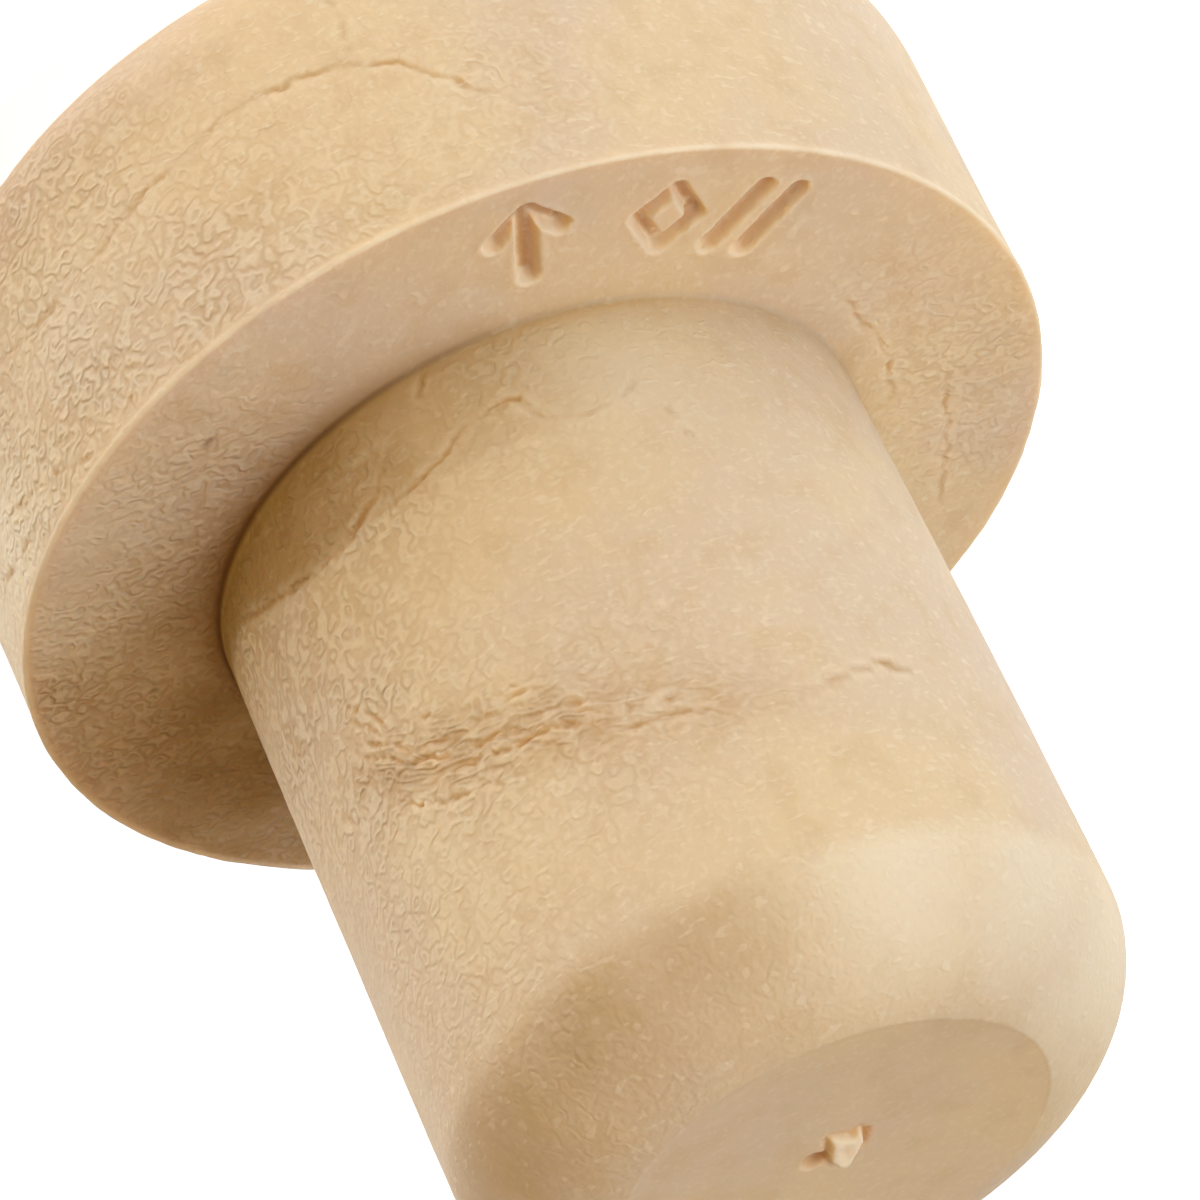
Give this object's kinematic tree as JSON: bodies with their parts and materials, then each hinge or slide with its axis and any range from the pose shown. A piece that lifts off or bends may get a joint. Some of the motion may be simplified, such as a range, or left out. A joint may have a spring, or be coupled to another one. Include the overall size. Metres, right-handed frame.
{
  "type": "synthetic wine cork",
  "caption": "Bar-top bottle stopper moulded in one piece: a wide round head over a plain shank that seals the bottle's neck.",
  "frame": {"origin": "centre of the head's flat top, which it stands on", "axes": "+Z along the stopper's axis, from the head towards the shank's end; +Y and +X across it"},
  "size_m": [0.0304, 0.0304, 0.0329],
  "materials": {
    "foam": "matte"
  },
  "bodies": {
    "root": {"stopper_body": "foam"}
  },
  "joints": []
}
